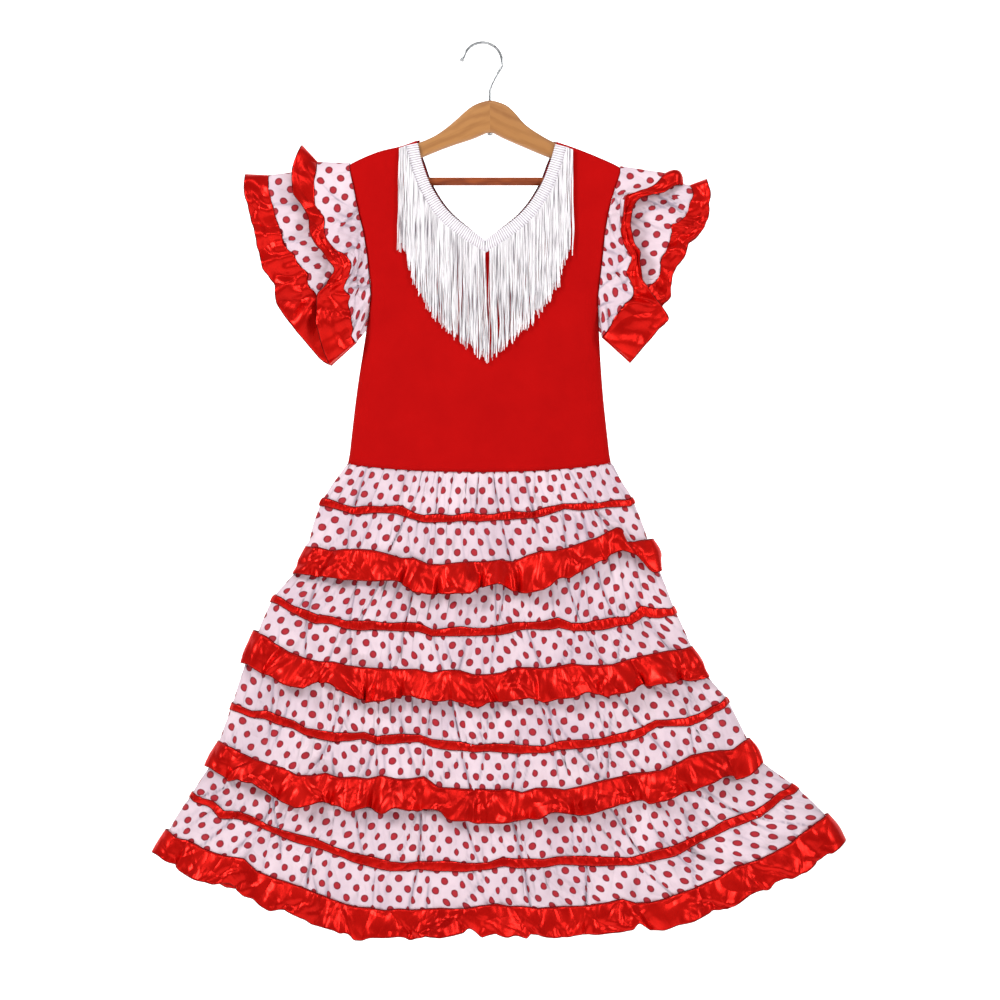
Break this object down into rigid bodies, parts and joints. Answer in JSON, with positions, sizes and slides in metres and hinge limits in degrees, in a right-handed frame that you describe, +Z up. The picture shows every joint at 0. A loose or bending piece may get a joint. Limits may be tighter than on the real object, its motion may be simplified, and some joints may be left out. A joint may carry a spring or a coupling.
{
  "type": "flamenco dress on a wooden hanger",
  "caption": "Child's flamenco dress with a fringed V neck, layered flutter sleeves and a tiered dotted skirt with satin ruffles, spread flat on a wooden hanger.",
  "frame": {"origin": "the inside top of the hanger's hook, where a rail carries it", "axes": "+Z up, -Y towards the dress's front, +X to the right in the front view"},
  "size_m": [0.7848, 0.1249, 1.0137],
  "materials": {
    "red_jersey": "matte",
    "dotted_cloth": "matte",
    "red_satin": "satin",
    "white_fringe": "satin",
    "beech": "varnished",
    "dark_beech": "varnished",
    "steel": "plated"
  },
  "bodies": {
    "root": {"bodice_front": "red_jersey", "bodice_back": "red_jersey", "tier_1": "dotted_cloth", "tier_2": "dotted_cloth", "tier_3": "dotted_cloth", "tier_4": "dotted_cloth", "ribbon_1": "red_satin", "ribbon_2": "red_satin", "ribbon_3": "red_satin", "ribbon_4": "red_satin", "ruffle_1": "red_satin", "ruffle_2": "red_satin", "ruffle_3": "red_satin", "ruffle_4": "red_satin", "sleeve_left_under": "dotted_cloth", "sleeve_left_under_edging": "red_satin", "sleeve_left_over": "dotted_cloth", "sleeve_left_over_edging": "red_satin", "sleeve_right_under": "dotted_cloth", "sleeve_right_under_edging": "red_satin", "sleeve_right_over": "dotted_cloth", "sleeve_right_over_edging": "red_satin", "fringe_left": "white_fringe", "fringe_right": "white_fringe", "hanger_arm_left": "beech", "hanger_arm_right": "beech", "hanger_bar": "dark_beech", "hanger_hook": "steel", "hanger_nut": "steel"}
  },
  "joints": []
}
